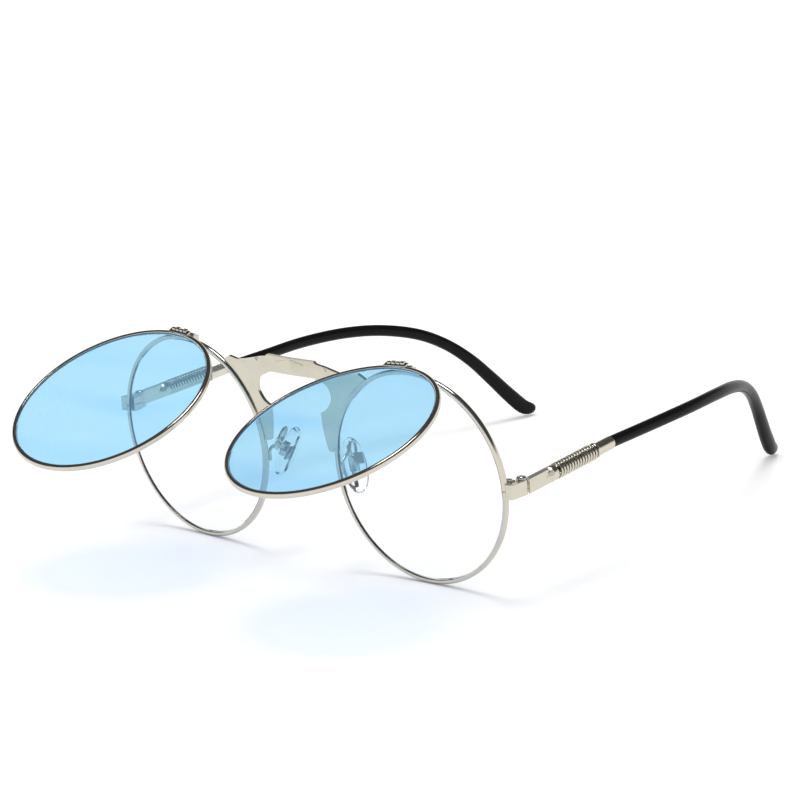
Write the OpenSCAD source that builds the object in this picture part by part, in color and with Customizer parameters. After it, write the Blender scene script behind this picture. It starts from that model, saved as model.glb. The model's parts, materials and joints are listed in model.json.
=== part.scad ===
// Round metal glasses with a second pair of tinted lenses that flip up on small hinges.
// Millimetres. X runs across the front, +Y towards the temple tips, +Z up, floor at Z = 0.
// Left and right are the wearer's: the left side is at +X.

/* [Eyewires] */
// Diameter of each lens
lens_d = 50; // [46:0.5:54]
// Distance between the two lens centres
lens_spacing = 75; // [73:0.5:80]
// Radial thickness of the wire round a lens
rim_wall = 1.15; // [0.9:0.05:1.6]
// Depth of the wire round a lens, front to back
rim_depth = 1.5; // [1.3:0.1:2]
// Depth of the groove that holds a lens
groove_depth = 0.35; // [0.2:0.05:0.4]
// Thickness of each lens
lens_t = 1.1; // [0.8:0.1:1.2]
// Angle by which each eyewire turns back towards its temple
wrap_angle = 2.35; // [0:0.05:5]
// Angle by which the top of the front leans forward
lean_angle = 3.34; // [0:0.02:7]

/* [Bridge plate] */
// Thickness of the flat bridge plate
bridge_t = 0.9; // [0.7:0.1:1.3]
// Height of its top edge above the lens centres
bridge_top = 25; // [24.5:0.1:27]
// Height of the top of its cut-out above the lens centres
cutout_top = 20.8; // [19:0.1:22]
// Half width of the straight top of the cut-out
cutout_half = 7.7; // [6:0.1:9]
// Height of the two cusps above the lens centres
cusp_height = 11.9; // [10:0.1:12.5]
// Height of the rounded leg ends above the lens centres
leg_end_height = 2.5; // [1:0.1:5]
// Width of each leg beside the eyewire
leg_w = 4.2; // [3:0.1:5]
// Depth of the groove engraved along the top edge
engraving = 0.15; // [0.1:0.05:0.3]

/* [Flip-up hinges and lenses] */
// Angle from closed to the raised rest position of the left flip-up lens
left_flip_open = 72.8; // [0:0.2:100]
// Angle from closed to the raised rest position of the right flip-up lens
right_flip_open = 67.2; // [0:0.2:100]
// Angle of each flip-up hinge from the top of its eyewire, towards the nose
flip_hinge_angle = 3.3; // [0:0.1:10]
// Width of each flip-up hinge
flip_hinge_w = 6.6; // [5:0.1:9]
// Diameter of the flip-up hinge knuckles
flip_knuckle_d = 1.5; // [1.3:0.05:1.7]
// Diameter of the flip-up hinge pin
flip_pin_d = 0.8; // [0.6:0.05:0.9]
// Height of the flip-up hinge axis above the eyewire
flip_axis_rise = 1.02; // [0.95:0.01:2]
// Distance from that axis down to the edge of the flip-up ring
flip_drop = 0.92; // [0.9:0.01:1.2]
// Gap between a closed flip-up ring and the eyewire behind it
flip_gap = 0.12; // [0.1:0.01:0.4]
// Thickness of the strap that carries the flip-up ring
strap_t = 0.35; // [0.3:0.05:0.8]

/* [End pieces and temple hinges] */
// Height of the left end piece above the lens centres
left_lug_rise = 0.4; // [-2:0.1:6]
// Height of the right end piece above the lens centres
right_lug_rise = 4.5; // [-2:0.1:6]
// Height of an end piece and of the flat temple bar
lug_h = 3.4; // [2.8:0.1:4.5]
// Wall thickness of an end piece and of the temple bar
lug_t = 1.6; // [1.2:0.1:2]
// How far an end piece stands out beside the eyewire
lug_reach = 1.9; // [1.7:0.1:4]
// Length of an end piece, front to back
lug_l = 5.4; // [5:0.1:8]
// Gap between an end piece and the temple bar
lug_gap = 0.5; // [0.3:0.05:0.8]
// Diameter of the temple hinge knuckles
knuckle_d = 2.8; // [2.4:0.1:3]
// Diameter of the temple hinge screw
hinge_screw_d = 1.2; // [1:0.1:1.4]
// Diameter of the temple hinge screw head
hinge_head_d = 2.6; // [2:0.1:2.8]
// Diameter of the closing screw
closing_screw_d = 1; // [0.8:0.1:1.2]

/* [Temples] */
// Angle at which the left temple rises from its hinge
left_temple_rise = 5.6; // [0:0.1:8]
// Angle at which the right temple rises from its hinge
right_temple_rise = 3; // [0:0.1:8]
// Distance from the hinge to the end of the flat bar
bar_l = 7; // [6:0.1:12]
// Length of the faceted collar between bar and spring
collar_l = 2.9; // [2.5:0.1:4]
// Outer diameter of the spring
spring_d = 4; // [3.6:0.1:4.6]
// Diameter of the spring's wire
spring_wire_d = 0.54; // [0.4:0.01:0.56]
// Turns of each spring
spring_turns = 14; // [8:1:15]
// Distance from one turn to the next
spring_pitch = 0.96; // [0.96:0.01:1.1]
// Diameter of the core wire inside the spring and the tip
core_d = 1.5; // [1.2:0.1:1.8]
// Diameter of the metal sleeve
sleeve_d = 3.2; // [2.8:0.1:3.6]
// Length of the metal sleeve
sleeve_l = 6.4; // [4:0.1:9]
// Diameter of the tip where it leaves the sleeve
tip_d = 2.9; // [2.6:0.1:3.4]
// Height of the tip's section where it bends down
tip_bend_d = 3.1; // [2.8:0.1:4.4]
// Width of the rounded end of the tip
tip_end_w = 4.6; // [3.6:0.1:5.6]
// Thickness of the rounded end of the tip
tip_end_t = 3.1; // [2.6:0.1:4]
// Distance from the hinge to the end of the tip, front to back
temple_l = 125.5; // [110:0.5:140]
// Distance over which the tip bends down
bend_run = 52; // [45:1:60]
// How far the end of the tip lies inwards of the temple
tip_inset = 23; // [10:0.5:24]
// Height of the left temple's highest stretch above the floor
left_crest_h = 31; // [29:0.1:36]
// Height of the right temple's highest stretch above the floor
right_crest_h = 32.4; // [29:0.1:36]

/* [Nose pads] */
// Height of a nose pad
pad_h = 13.2; // [11:0.1:15]
// Width of a nose pad
pad_w = 6.8; // [6:0.1:9]
// Thickness of a nose pad
pad_t = 2.2; // [1.8:0.1:2.8]
// Distance of the pad pivot from the middle of the front
pad_pivot_x = 13; // [12:0.1:15]
// Distance of the pad pivot behind the front
pad_pivot_y = 5.7; // [5:0.1:9]
// Height of the pad pivot below the lens centres
pad_pivot_drop = 0.3; // [-2:0.1:3]
// Angle by which a pad leans back at its top
pad_lean = 8.6; // [0:0.2:15]
// Angle by which a pad closes in at its top
pad_frontal = 24.2; // [15:0.2:30]
// Angle by which a pad opens towards the face
pad_splay = 8; // [0:1:30]
// Diameter of the pad arm wire
arm_d = 0.9; // [0.7:0.05:1.1]
// Diameter of the pad screw
pad_screw_d = 0.9; // [0.7:0.05:1]

/* [Hidden] */

$fn = 96;

// Clearances
solder_gap = 0.02;
lens_gap = 0.03;
running_gap = 0.03;
side_gap = 0.05;
swing_gap = 0.15;

// Colours
silver = [0.80, 0.79, 0.76];
champagne = [0.86, 0.83, 0.77];
clear = [0.93, 0.96, 0.97, 0.35];
tint = [0.62, 0.84, 1.0, 0.6];
silicone = [0.93, 0.94, 0.93, 0.6];
black = [0.06, 0.06, 0.07];

// Eyewire measures
rim_in = lens_d / 2 - groove_depth;
rim_r = rim_in + rim_wall;
rim_mid = rim_depth / 2;
outer_chamfer = 0.35;
inner_chamfer = 0.15;
groove_half = groove_depth + 0.1;
centre_h = rim_r * cos(lean_angle);
rim_side_x = lens_spacing / 2 + rim_r * cos(wrap_angle);
rim_side_y = rim_r * sin(wrap_angle);
split_gap = 0.2;

// Section of the wire: distance from the ring's axis, depth behind the front face
rim_section = [
    [rim_in + inner_chamfer, 0],
    [rim_r - outer_chamfer, 0],
    [rim_r, outer_chamfer],
    [rim_r, rim_depth - outer_chamfer],
    [rim_r - outer_chamfer, rim_depth],
    [rim_in + inner_chamfer, rim_depth],
    [rim_in, rim_depth - inner_chamfer],
    [rim_in, rim_mid + groove_half],
    [rim_in + groove_depth, rim_mid],
    [rim_in, rim_mid - groove_half],
    [rim_in, inner_chamfer]
];

// End piece and temple hinge
function lug_rise(side) = side == "left" ? left_lug_rise : right_lug_rise;
function lug_z(side) = centre_h + lug_rise(side);
lug_outer_x = rim_side_x + lug_reach;
lug_inner_x = lug_outer_x - lug_t;
lug_end_y = rim_side_y + lug_l;
hinge_inset = 0.3;
hinge_x = lug_inner_x - hinge_inset;
hinge_y = lug_end_y + lug_gap / 2;
knuckle_h = (lug_h - 2 * side_gap) / 3;
hinge_head_h = 0.7;
block_l = 2.4;
block_w = 2;
function block_x(side) = sqrt(rim_r * rim_r - pow(abs(lug_rise(side)) + lug_h / 2, 2)) - block_w;
closing_head_h = 0.4;
slot_w = 0.24;
slot_depth = 0.15;

// Temple line
temple_x = lug_outer_x - lug_t / 2;
bar_start = lug_gap / 2;
spring_start = bar_l + collar_l;
spring_l = (spring_turns * spring_pitch) + (2 * spring_wire_d);
sleeve_start = spring_start + spring_l;
tip_start = sleeve_start + sleeve_l;
bore_d = core_d + 2 * solder_gap;
tip_end_h = tip_end_w / 2 - 0.55;

function temple_rise(side) = side == "left" ? left_temple_rise : right_temple_rise;
function crest_h(side) = side == "left" ? left_crest_h : right_crest_h;

// A point on the temple line, from its distance along it
function temple_point(side, t) =
    [temple_x, hinge_y + t * cos(temple_rise(side)), lug_z(side) + t * sin(temple_rise(side))];

// Smooth curve through points, with even steps between each two
function through(p, steps) = [
    for (i = [0 : len(p) - 2])
        for (k = [0 : steps - 1])
            curve_at(p[max(i - 1, 0)], p[i], p[i + 1], p[min(i + 2, len(p) - 1)], k / steps),
    p[len(p) - 1]
];
function curve_at(a, b, c, d, t) =
    0.5 * ((2 * b) + (c - a) * t + (2 * a - 5 * b + 4 * c - d) * t * t
    + (3 * b - a - 3 * c + d) * t * t * t);

// Route of a temple tip: shares of the inset, of the bend's run and of its height
tip_end = [temple_x - tip_inset, hinge_y + temple_l, tip_end_h];
bend_y = tip_end[1] - bend_run;
bend_shape = [
    [0.07, 0, 0.99],
    [0.22, 0.21, 0.95],
    [0.40, 0.40, 0.86],
    [0.545, 0.545, 0.725],
    [0.675, 0.66, 0.555],
    [0.78, 0.755, 0.37],
    [0.88, 0.85, 0.175],
    [0.955, 0.93, 0.035],
    [1, 1, 0]
];
tip_steps = 3;
tip_straight = 0.8;
function tip_route(side) =
    let (
        start = temple_point(side, tip_start + tip_straight),
        run = bend_y - start[1],
        climb = crest_h(side) - start[2],
        drop = crest_h(side) - tip_end_h
    )
        [temple_point(side, tip_start), each through([
            start,
            start + [0.3, 0.33 * run, 0.42 * climb],
            start + [0.5, 0.68 * run, 0.9 * climb],
            for (s = bend_shape)
                [temple_x - s[0] * tip_inset, bend_y + s[1] * bend_run, tip_end_h + s[2] * drop]
        ], tip_steps)];
tip_rings = (len(bend_shape) + 2) * tip_steps + 2;

// Height and thickness of the tip's section at each ring, rounded off over the last ones
function smooth(t) = t * t * (3 - 2 * t);
function blend3(a, b, c, t) = t < 0.5 ? a + (b - a) * smooth(t * 2) : b + (c - b) * smooth(t * 2 - 1);
end_shares = [0.45, 0.82, 0.97];
function end_round(i) = i > tip_rings - 4 ? end_shares[tip_rings - 1 - i] : 1;
tip_sizes = [
    for (i = [0 : tip_rings - 1])
        let (
            t = i / (tip_rings - 1),
            h = blend3(tip_d, tip_bend_d, tip_end_w, t),
            w = blend3(tip_d, tip_d + 0.2, tip_end_t, t)
        )
            [h, w] * end_round(i) / 2
];

// Rings of a tube swept along a route; the section's first axis lies in the route's upright plane
function unit(v) = v / norm(v);
function heading(r, i) = unit(r[min(i + 1, len(r) - 1)] - r[max(i - 1, 0)]);
function ring_at(p, along, half, sides, side) =
    let (up = unit(cross(along, side)), across = cross(up, along))
        [
            for (k = [0 : sides - 1])
                let (a = k * 360 / sides)
                    p + up * half[0] * cos(a) + across * half[1] * sin(a)
        ];
function tube_rings(route, halves, sides, side) = [
    for (i = [0 : len(route) - 1])
        ring_at(route[i], heading(route, i), halves[i], sides, side)
];

// Faces of a swept wall of n rings whose first point is number first
function wall_faces(n, sides, first) = [
    for (i = [0 : n - 2])
        for (k = [0 : sides - 1])
            let (a = first + i * sides + k, b = first + i * sides + (k + 1) % sides)
                each [[a, b, b + sides], [a, b + sides, a + sides]]
];
function end_face(sides, first) = [for (k = [0 : sides - 1]) first + k];
function reversed(face) = [for (k = [len(face) - 1 : -1 : 0]) face[k]];

module tube(route, halves, sides, side = [-1, 0, 0]) {
    rings = tube_rings(route, halves, sides, side);
    polyhedron(
        points = [for (r = rings) each r],
        faces = [
            reversed(end_face(sides, 0)),
            each wall_faces(len(route), sides, 0),
            end_face(sides, (len(route) - 1) * sides)
        ]
    );
}

// A tube with a blind bore from its start along the first part of its route
module bored_tube(route, halves, bore_route, bore_halves, sides, side = [-1, 0, 0]) {
    outer = tube_rings(route, halves, sides, side);
    inner = tube_rings(bore_route, bore_halves, sides, side);
    bore_first = len(route) * sides;
    polyhedron(
        points = [for (r = concat(outer, inner)) each r],
        faces = [
            each wall_faces(len(route), sides, 0),
            end_face(sides, bore_first - sides),
            for (f = wall_faces(len(bore_route), sides, bore_first)) reversed(f),
            reversed(end_face(sides, bore_first + (len(bore_route) - 1) * sides)),
            for (k = [0 : sides - 1])
                let (next = (k + 1) % sides)
                    each [[next, k, bore_first + k], [next, bore_first + k, bore_first + next]]
        ]
    );
}

// Core wire: straight through spring and sleeve, then along the tip to near its end
tip_sides = 16;
core_sides = 10;
core_stop = tip_rings - 7;
function bore_route(side) =
    let (tip = tip_route(side)) [for (i = [0 : core_stop]) tip[i]];
function core_route(side) = [temple_point(side, spring_start + solder_gap), each bore_route(side)];
function even(route, d) = [for (p = route) [d, d] / 2];

// Spring: a helix whose two ends run straight along its axis for one wire diameter
rings_per_turn = 8;
spring_r = (spring_d - spring_wire_d) / 2;
spring_steps = spring_turns * rings_per_turn;
spring_route = [
    [0, solder_gap, spring_r],
    for (i = [0 : spring_steps])
        [
            spring_r * sin(i * 360 / rings_per_turn),
            spring_wire_d + i * spring_pitch / rings_per_turn,
            spring_r * cos(i * 360 / rings_per_turn)
        ],
    [0, spring_l - solder_gap, spring_r]
];
spring_gap = min([
    for (i = [0 : len(spring_route) - 1])
        for (j = [i + 6 : 1 : min(i + 12, len(spring_route) - 1)])
            norm(spring_route[i] - spring_route[j])
]) - spring_wire_d;
echo(least_gap_between_spring_turns = spring_gap);

// Bridge plate outline, for the left half: across from the middle, up from the lens centres
function rim_edge(v) = lens_spacing / 2 - sqrt(rim_r * rim_r - v * v);
function beside_rim(v, w) = [rim_edge(v) - w, v];
top_wave = through([
    [cutout_half + 0.1, bridge_top],
    [cutout_half + 0.7, bridge_top - 0.6],
    [cutout_half + 3.3, bridge_top - 1.05],
    [cutout_half + 6.3, bridge_top - 1.75],
    [cutout_half + 9.2, bridge_top - 2.35],
    beside_rim(bridge_top - 2.5, 6.1),
    beside_rim(bridge_top - 2.05, 4.1)
], 4);
cutout_curve = through([
    beside_rim(cusp_height, leg_w + 1.9),
    beside_rim(cusp_height + 1.2, leg_w + 0.4),
    beside_rim(cusp_height + 3.4, leg_w + 0.3),
    beside_rim(cusp_height + 5.2, leg_w + 1.7),
    beside_rim(cusp_height + 7, leg_w + 4.4),
    [cutout_half + 0.4, cutout_top - 0.4],
    [cutout_half, cutout_top]
], 4);
leg_curve = through([
    beside_rim(leg_end_height + 1.2, 0.2),
    beside_rim(leg_end_height + 0.1, 0.7),
    beside_rim(leg_end_height, 1.4),
    beside_rim(leg_end_height + 0.6, 2.2),
    beside_rim(leg_end_height + 2.6, leg_w - 1.2),
    beside_rim(leg_end_height + 5.4, leg_w),
    beside_rim(cusp_height - 0.6, leg_w + 1.5)
], 4);
bridge_half = [
    [0, bridge_top],
    each top_wave,
    beside_rim(bridge_top - 3.2, -0.1),
    beside_rim(bridge_top - 6, -4),
    beside_rim(leg_end_height + 6, -4),
    beside_rim(leg_end_height + 1.4, -0.2),
    each leg_curve,
    each cutout_curve,
    [0, cutout_top]
];
bridge_setback = rim_depth - bridge_t;
mark_x = 0.4;
mark_l = 4.2;
mark_w = 0.22;
mark_drop = 0.45;
mark_slope = 13;
badge_x = cutout_half + 3.8;
badge_drop = 2.1;
badge_w = 1.6;
badge_h = 1;
badge_line = 0.35;

// Nose pads, measured in the pad's own frame: X away from the nose, Y back, Z up
pad_turn = [-pad_lean, -pad_frontal, -pad_splay];
pad_pivot = [pad_pivot_x, pad_pivot_y, centre_h - pad_pivot_drop];
box_size = [2.2, 2.6, 2.8];
pad_off_box = 0.35;
pad_from_pivot = [-box_size[0] / 2 - pad_off_box - pad_t / 2, 0.5, -0.8];
lug_w = 1.2;
pad_lug_r = 0.75;
core_plate = [0.7, 2.6, 3.4];
pad_lug_wall = 0.2;

// A point turned about X, Y or Z, or about all three in that order
function spin_x(p, a) = [p[0], p[1] * cos(a) - p[2] * sin(a), p[1] * sin(a) + p[2] * cos(a)];
function spin_y(p, a) = [p[0] * cos(a) + p[2] * sin(a), p[1], -p[0] * sin(a) + p[2] * cos(a)];
function spin_z(p, a) = [p[0] * cos(a) - p[1] * sin(a), p[0] * sin(a) + p[1] * cos(a), p[2]];
function turned(p, a) = spin_z(spin_y(spin_x(p, a[0]), a[1]), a[2]);
function in_rim(p) = [lens_spacing / 2, 0, centre_h] + turned(p, [lean_angle, 0, wrap_angle]);
function in_pad(p) = pad_pivot + turned(p, pad_turn);

arm_on_rim = -rim_r + rim_wall / 2;
arm_back = rim_depth + solder_gap + arm_d / 2;
arm_route = through([
    in_rim([arm_on_rim + 0.12, arm_back, -3.4]),
    in_rim([arm_on_rim, arm_back, -2.2]),
    in_rim([arm_on_rim, arm_back + 0.2, -0.6]),
    in_pad([-0.3, -2.9, 0.9]),
    in_pad([0.1, -1.7, 2.2]),
    in_pad([0.2, -1.3, 3.6]),
    in_pad([0.2, -0.6, 4.5]),
    in_pad([0.2, 0.1, 4.3]),
    in_pad([0.1, 0.3, 3.2]),
    in_pad([0, 0.2, box_size[2] / 2 + solder_gap])
], 2);

// Flip-up hinge, measured in its own frame: X along the axis, Y back, Z away from the lens centre
flip_knuckle_r = flip_knuckle_d / 2;
base_knuckle_w = 1.2;
leaf_knuckle_w = (flip_hinge_w - 3 * base_knuckle_w - 4 * side_gap) / 2;
leaf_step = (base_knuckle_w + leaf_knuckle_w) / 2 + side_gap;
ring_front = flip_gap + rim_depth;
flip_ring_drop = flip_drop + rim_r;

// A direction of the raised flip-up frame in the whole object's frame
function from_flip(p, open) =
    turned(spin_y(spin_x(p, -open), -flip_hinge_angle), [lean_angle, 0, wrap_angle]);

// How far a flip-up ring reaches to the front, from the Y part of its axis direction
function flip_reach(open) =
    let (
        axis_foot = turned([-(rim_r + flip_axis_rise) * sin(flip_hinge_angle), 0,
            (rim_r + flip_axis_rise) * cos(flip_hinge_angle)], [lean_angle, 0, wrap_angle]),
        down = from_flip([0, 0, -flip_ring_drop], open),
        back = from_flip([0, 1, 0], open)
    )
        axis_foot[1] + down[1] - back[1] * ring_front
        - max([for (s = rim_section) s[0] * sqrt(1 - back[1] * back[1]) - s[1] * back[1]]);

front_y = min(flip_reach(left_flip_open), flip_reach(right_flip_open));
back_y = max([
    for (side = ["left", "right"])
        for (r = tube_rings(tip_route(side), tip_sizes, tip_sides, [-1, 0, 0]))
            for (p = r) p[1]
]);
middle_y = (front_y + back_y) / 2;

// Places a child in the whole object's frame, for the left side, or mirrored for the right one
module side_of(side) {
    translate([0, -middle_y, 0])
        mirror([side == "right" ? 1 : 0, 0, 0])
            children();
}

module at_rim() {
    translate([lens_spacing / 2, 0, centre_h])
        rotate([lean_angle, 0, wrap_angle])
            children();
}

module at_flip_axis() {
    at_rim()
        rotate([0, -flip_hinge_angle, 0])
            translate([0, 0, rim_r + flip_axis_rise])
                children();
}

module at_flip(side) {
    at_flip_axis()
        rotate([-(side == "left" ? left_flip_open : right_flip_open), 0, 0])
            children();
}

module at_temple(side) {
    translate([temple_x, hinge_y, lug_z(side)])
        rotate([temple_rise(side), 0, 0])
            children();
}

module at_pad() {
    translate(pad_pivot)
        rotate(pad_turn)
            children();
}

// A round bar along +Y from the origin
module rod_y(d, l) {
    rotate([-90, 0, 0]) cylinder(d = d, h = l);
}

// A round bar along X, centred
module rod_x(d, l) {
    rotate([0, 90, 0]) cylinder(d = d, h = l, center = true);
}

// A ring or disc turned about the Y axis from its section
module turned_y(section) {
    rotate([-90, 0, 0]) rotate_extrude($fn = 180) polygon(section);
}

module wire_ring() {
    turned_y(rim_section);
}

module lens_disc() {
    face_r = rim_in - 0.15;
    edge_r = lens_d / 2 - lens_gap;
    turned_y([
        [0, rim_mid - lens_t / 2],
        [face_r, rim_mid - lens_t / 2],
        [edge_r, rim_mid],
        [face_r, rim_mid + lens_t / 2],
        [0, rim_mid + lens_t / 2]
    ]);
}

module bridge_side() {
    difference() {
        translate([-lens_spacing / 2, bridge_setback, 0])
            rotate([90, 0, 0])
                mirror([0, 0, 1])
                    linear_extrude(bridge_t)
                        polygon([each bridge_half, [-2, cutout_top], [-2, bridge_top]]);
        rotate([-90, 0, 0])
            translate([0, 0, -1])
                cylinder(r = rim_r + solder_gap, h = rim_depth + 2, $fn = 180);
        translate([-lens_spacing / 2 + mark_x, bridge_setback - 1 + engraving, bridge_top - mark_drop])
            rotate([0, mark_slope, 0])
                cube([mark_l, 1, mark_w]);
        translate([-lens_spacing / 2 + badge_x, bridge_setback + engraving, bridge_top - badge_drop])
            rotate([90, 0, 0])
                linear_extrude(1)
                    difference() {
                        polygon([[0, 0], [-badge_w / 2, badge_h], [badge_w / 2, badge_h]]);
                        polygon([
                            [0, badge_line],
                            [-badge_w / 4, badge_h - badge_line / 2],
                            [badge_w / 4, badge_h - badge_line / 2]
                        ]);
                    }
    }
}

module bridge_plate() {
    color(champagne)
        for (side = ["left", "right"])
            side_of(side)
                intersection() {
                    at_rim() bridge_side();
                    translate([0, -20, 0]) cube([lens_spacing / 2, 40, 80]);
                }
}

module eyewire(side) {
    color(silver)
        side_of(side)
            at_rim()
                difference() {
                    wire_ring();
                    translate([rim_in - 1, -1, lug_rise(side) - split_gap / 2])
                        cube([rim_wall + 3, rim_depth + 2, split_gap]);
                }
}

module clear_lens(side) {
    color(clear)
        side_of(side)
            at_rim() lens_disc();
}

module hinge_barrel(z0, z1, grow = 0) {
    translate([hinge_x, hinge_y, z0])
        cylinder(d = knuckle_d + 2 * grow, h = z1 - z0);
}

module end_piece(side) {
    low = lug_z(side) - lug_h / 2;
    high = lug_z(side) + lug_h / 2;
    chamfer = 0.3;
    lug_root = 2.2;
    color(champagne)
        side_of(side)
            difference() {
                union() {
                    translate([0, 0, low])
                        linear_extrude(lug_h)
                            polygon([
                                [rim_side_x - lug_root, rim_side_y],
                                [lug_outer_x - chamfer, rim_side_y],
                                [lug_outer_x, rim_side_y + chamfer],
                                [lug_outer_x, lug_end_y],
                                [lug_inner_x, lug_end_y],
                                [lug_inner_x, rim_side_y + lug_t],
                                [rim_side_x - lug_root, rim_side_y + lug_t - 0.1]
                            ]);
                    hinge_barrel(low, low + knuckle_h);
                    hinge_barrel(high - knuckle_h, high);
                }
                hinge_barrel(low + knuckle_h, high - knuckle_h, swing_gap);
                translate([hinge_x, hinge_y, low - 1])
                    cylinder(d = hinge_screw_d + 2 * running_gap, h = lug_h + 2);
                at_rim()
                    rotate([-90, 0, 0])
                        translate([0, 0, -3])
                            cylinder(r = rim_r + solder_gap, h = rim_depth + 6, $fn = 180);
            }
}

module hinge_screw(side) {
    high = lug_z(side) + lug_h / 2;
    color(silver)
        side_of(side)
            translate([hinge_x, hinge_y, high])
                difference() {
                    union() {
                        translate([0, 0, -lug_h]) cylinder(d = hinge_screw_d, h = lug_h + solder_gap);
                        translate([0, 0, solder_gap]) cylinder(d = hinge_head_d, h = hinge_head_h / 2);
                        translate([0, 0, hinge_head_h / 2 + solder_gap])
                            cylinder(d1 = hinge_head_d, d2 = hinge_head_d - 0.8, h = hinge_head_h / 2);
                    }
                    translate([-hinge_head_d, -0.2, hinge_head_h - 0.25])
                        cube([2 * hinge_head_d, 0.4, 1]);
                }
}

module closing_block(side, upper) {
    color(silver)
        side_of(side)
            at_rim()
                translate([block_x(side), rim_depth + solder_gap, lug_rise(side)])
                    difference() {
                        translate([0, 0, upper ? split_gap / 2 : -lug_h / 2])
                            cube([block_w, block_l, (lug_h - split_gap) / 2]);
                        translate([block_w / 2, block_l / 2, -lug_h])
                            cylinder(d = closing_screw_d + 2 * running_gap, h = 2 * lug_h);
                    }
}

module closing_screw(side) {
    slot_floor = lug_h / 2 + solder_gap + closing_head_h - slot_depth;
    color(silver)
        side_of(side)
            at_rim()
                translate([block_x(side) + block_w / 2, rim_depth + solder_gap + block_l / 2, lug_rise(side)])
                    difference() {
                        union() {
                            translate([0, 0, -lug_h / 2])
                                cylinder(d = closing_screw_d, h = lug_h + solder_gap);
                            translate([0, 0, lug_h / 2 + solder_gap])
                                cylinder(d = closing_screw_d + 0.7, h = closing_head_h);
                        }
                        translate([-closing_screw_d, -slot_w / 2, slot_floor])
                            cube([2 * closing_screw_d, slot_w, 1]);
                    }
}

module temple_bar(side) {
    low = lug_z(side) - lug_h / 2;
    high = lug_z(side) + lug_h / 2;
    collar_d = spring_d - 0.2;
    color(champagne)
        side_of(side)
            difference() {
                union() {
                    at_temple(side) {
                        difference() {
                            translate([-lug_t / 2, bar_start, -lug_h / 2])
                                cube([lug_t, bar_l + 1 - bar_start, lug_h]);
                            translate([-lug_t, bar_start - 2, -lug_h])
                                rotate([-temple_rise(side), 0, 0])
                                    cube([2 * lug_t, 2, 2 * lug_h]);
                        }
                        translate([0, bar_l, 0])
                            rotate([-90, 0, 0])
                                cylinder(d1 = lug_t + 0.6, d2 = collar_d, h = collar_l / 2, $fn = 8);
                        translate([0, bar_l + collar_l / 2, 0]) rod_y(collar_d, collar_l / 2);
                    }
                    hinge_barrel(low + knuckle_h + side_gap, high - knuckle_h - side_gap);
                }
                hinge_barrel(low - 2, low + knuckle_h + side_gap, swing_gap);
                hinge_barrel(high - knuckle_h - side_gap, high + 2, swing_gap);
                translate([hinge_x, hinge_y, low - 1])
                    cylinder(d = hinge_screw_d + 2 * running_gap, h = lug_h + 2);
            }
}

module temple_core(side) {
    color(silver)
        side_of(side)
            tube(core_route(side), even(core_route(side), core_d), core_sides);
}

module temple_spring(side) {
    color(silver)
        side_of(side)
            at_temple(side)
                translate([0, spring_start, 0])
                    tube(spring_route, even(spring_route, spring_wire_d), 6, [0, 1, 0.001]);
}

module temple_sleeve(side) {
    flange_l = 0.7;
    color(champagne)
        side_of(side)
            at_temple(side)
                translate([0, sleeve_start, 0])
                    difference() {
                        union() {
                            rod_y(spring_d - 0.2, flange_l);
                            translate([0, flange_l, 0]) rod_y(sleeve_d, sleeve_l - flange_l - solder_gap);
                        }
                        translate([0, -1, 0]) rod_y(bore_d, sleeve_l + 2);
                    }
}

module temple_tip(side) {
    bore = bore_route(side);
    color(black)
        side_of(side)
            bored_tube(tip_route(side), tip_sizes, bore, even(bore, bore_d), tip_sides);
}

module pad_arm(side) {
    color(silver)
        side_of(side)
            tube(arm_route, even(arm_route, arm_d), 8);
}

module pad_box(side) {
    color(silver)
        side_of(side)
            at_pad()
                difference() {
                    translate(-box_size / 2) cube(box_size);
                    translate([-box_size[0] / 2 - 1, -lug_w / 2 - side_gap, -box_size[2] / 2 + 0.3])
                        cube([box_size[0] + 1 - pad_lug_wall, lug_w + 2 * side_gap, box_size[2] - 0.6]);
                    translate([0, -box_size[1], 0]) rod_y(pad_screw_d + 2 * running_gap, 2 * box_size[1]);
                }
}

module pad_screw(side) {
    head_h = 0.5;
    seat_y = -box_size[1] / 2 - solder_gap;
    color(silver)
        side_of(side)
            at_pad()
                difference() {
                    union() {
                        translate([0, seat_y, 0]) rod_y(pad_screw_d, box_size[1] + solder_gap);
                        translate([0, seat_y - head_h, 0]) rod_y(pad_screw_d + 0.8, head_h);
                    }
                    translate([-pad_screw_d, seat_y - head_h - 1 + slot_depth, -slot_w / 2])
                        cube([2 * pad_screw_d, 1, slot_w]);
                }
}

module pad_core(side) {
    color(clear)
        side_of(side)
            at_pad()
                difference() {
                    union() {
                        translate(pad_from_pivot - core_plate / 2) cube(core_plate);
                        translate([pad_from_pivot[0], -lug_w / 2, -pad_lug_r])
                            cube([-pad_from_pivot[0], lug_w, 2 * pad_lug_r]);
                        translate([0, -lug_w / 2, 0]) rod_y(2 * pad_lug_r, lug_w);
                    }
                    translate([0, -lug_w, 0]) rod_y(pad_screw_d + 2 * running_gap, 2 * lug_w);
                }
}

module nose_pad(side) {
    edge_t = 1;
    color(silicone)
        side_of(side)
            at_pad()
                difference() {
                    translate(pad_from_pivot)
                        hull($fn = 32) {
                            translate([pad_t / 2 - 0.2, 0, 0]) pad_oval(0.2, 0.9);
                            translate([pad_t / 2 - edge_t, 0, 0]) pad_oval(0.4, 1);
                            translate([-pad_t / 2 + 0.3, 0, 0]) pad_oval(0.2, 0.78);
                            translate([-pad_t / 2, 0, 0]) pad_oval(0.2, 0.5);
                        }
                    translate(pad_from_pivot - core_plate / 2 - [1, 1, 1] * solder_gap)
                        cube(core_plate + [2, 2, 2] * solder_gap);
                    translate([pad_from_pivot[0], -lug_w / 2 - solder_gap, -pad_lug_r - solder_gap])
                        cube([pad_t, lug_w + 2 * solder_gap, 2 * pad_lug_r + 2 * solder_gap]);
                }
}

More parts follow.
